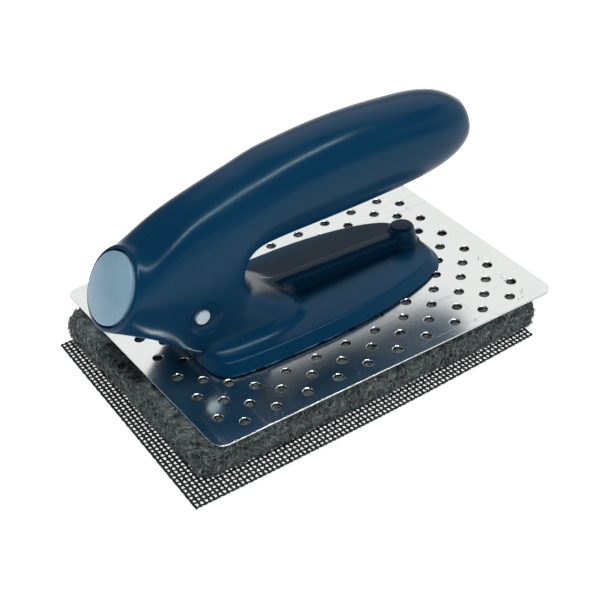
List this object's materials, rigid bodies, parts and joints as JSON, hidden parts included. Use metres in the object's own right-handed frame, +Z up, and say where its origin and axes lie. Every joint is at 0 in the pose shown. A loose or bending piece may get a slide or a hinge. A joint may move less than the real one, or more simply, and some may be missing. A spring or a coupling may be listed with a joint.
{
  "type": "griddle pad holder",
  "caption": "Hand-held griddle cleaning pad holder: moulded grip on a toothed steel plate, resting on an abrasive pad and a woven mesh screen.",
  "frame": {"origin": "centre of the whole object's footprint, on the work surface it rests on", "axes": "+X from the nose and its pole socket to the free end of the grip, +Z up from the work surface"},
  "size_m": [0.1473, 0.1112, 0.076],
  "materials": {
    "grip_plastic": "smooth glossy dark blue moulding",
    "plug_plastic": "satin pale grey-blue moulding",
    "fastener_steel": "plated steel",
    "plate_steel": "bright rolled sheet with fine scratches",
    "pad_fibre": "coarse nonwoven abrasive fibre",
    "screen_grit": "open woven mesh coated with abrasive grit"
  },
  "bodies": {
    "screen": {"abrasive_screen": "screen_grit"},
    "pad": {"abrasive_pad": "pad_fibre"},
    "holder": {"grip_moulding": "grip_plastic", "socket_plug": "plug_plastic", "cross_pin": "fastener_steel", "holder_plate": "plate_steel", "rear_screw": "fastener_steel", "front_screw_left": "fastener_steel", "front_screw_right": "fastener_steel"}
  },
  "joints": [
    {"name": "pad_lift", "type": "slide", "parent": "screen", "child": "pad", "axis": [0, 0, 1], "range_m": [0, 0.05]},
    {"name": "holder_lift", "type": "slide", "parent": "pad", "child": "holder", "axis": [0, 0, 1], "range_m": [0, 0.06]}
  ]
}
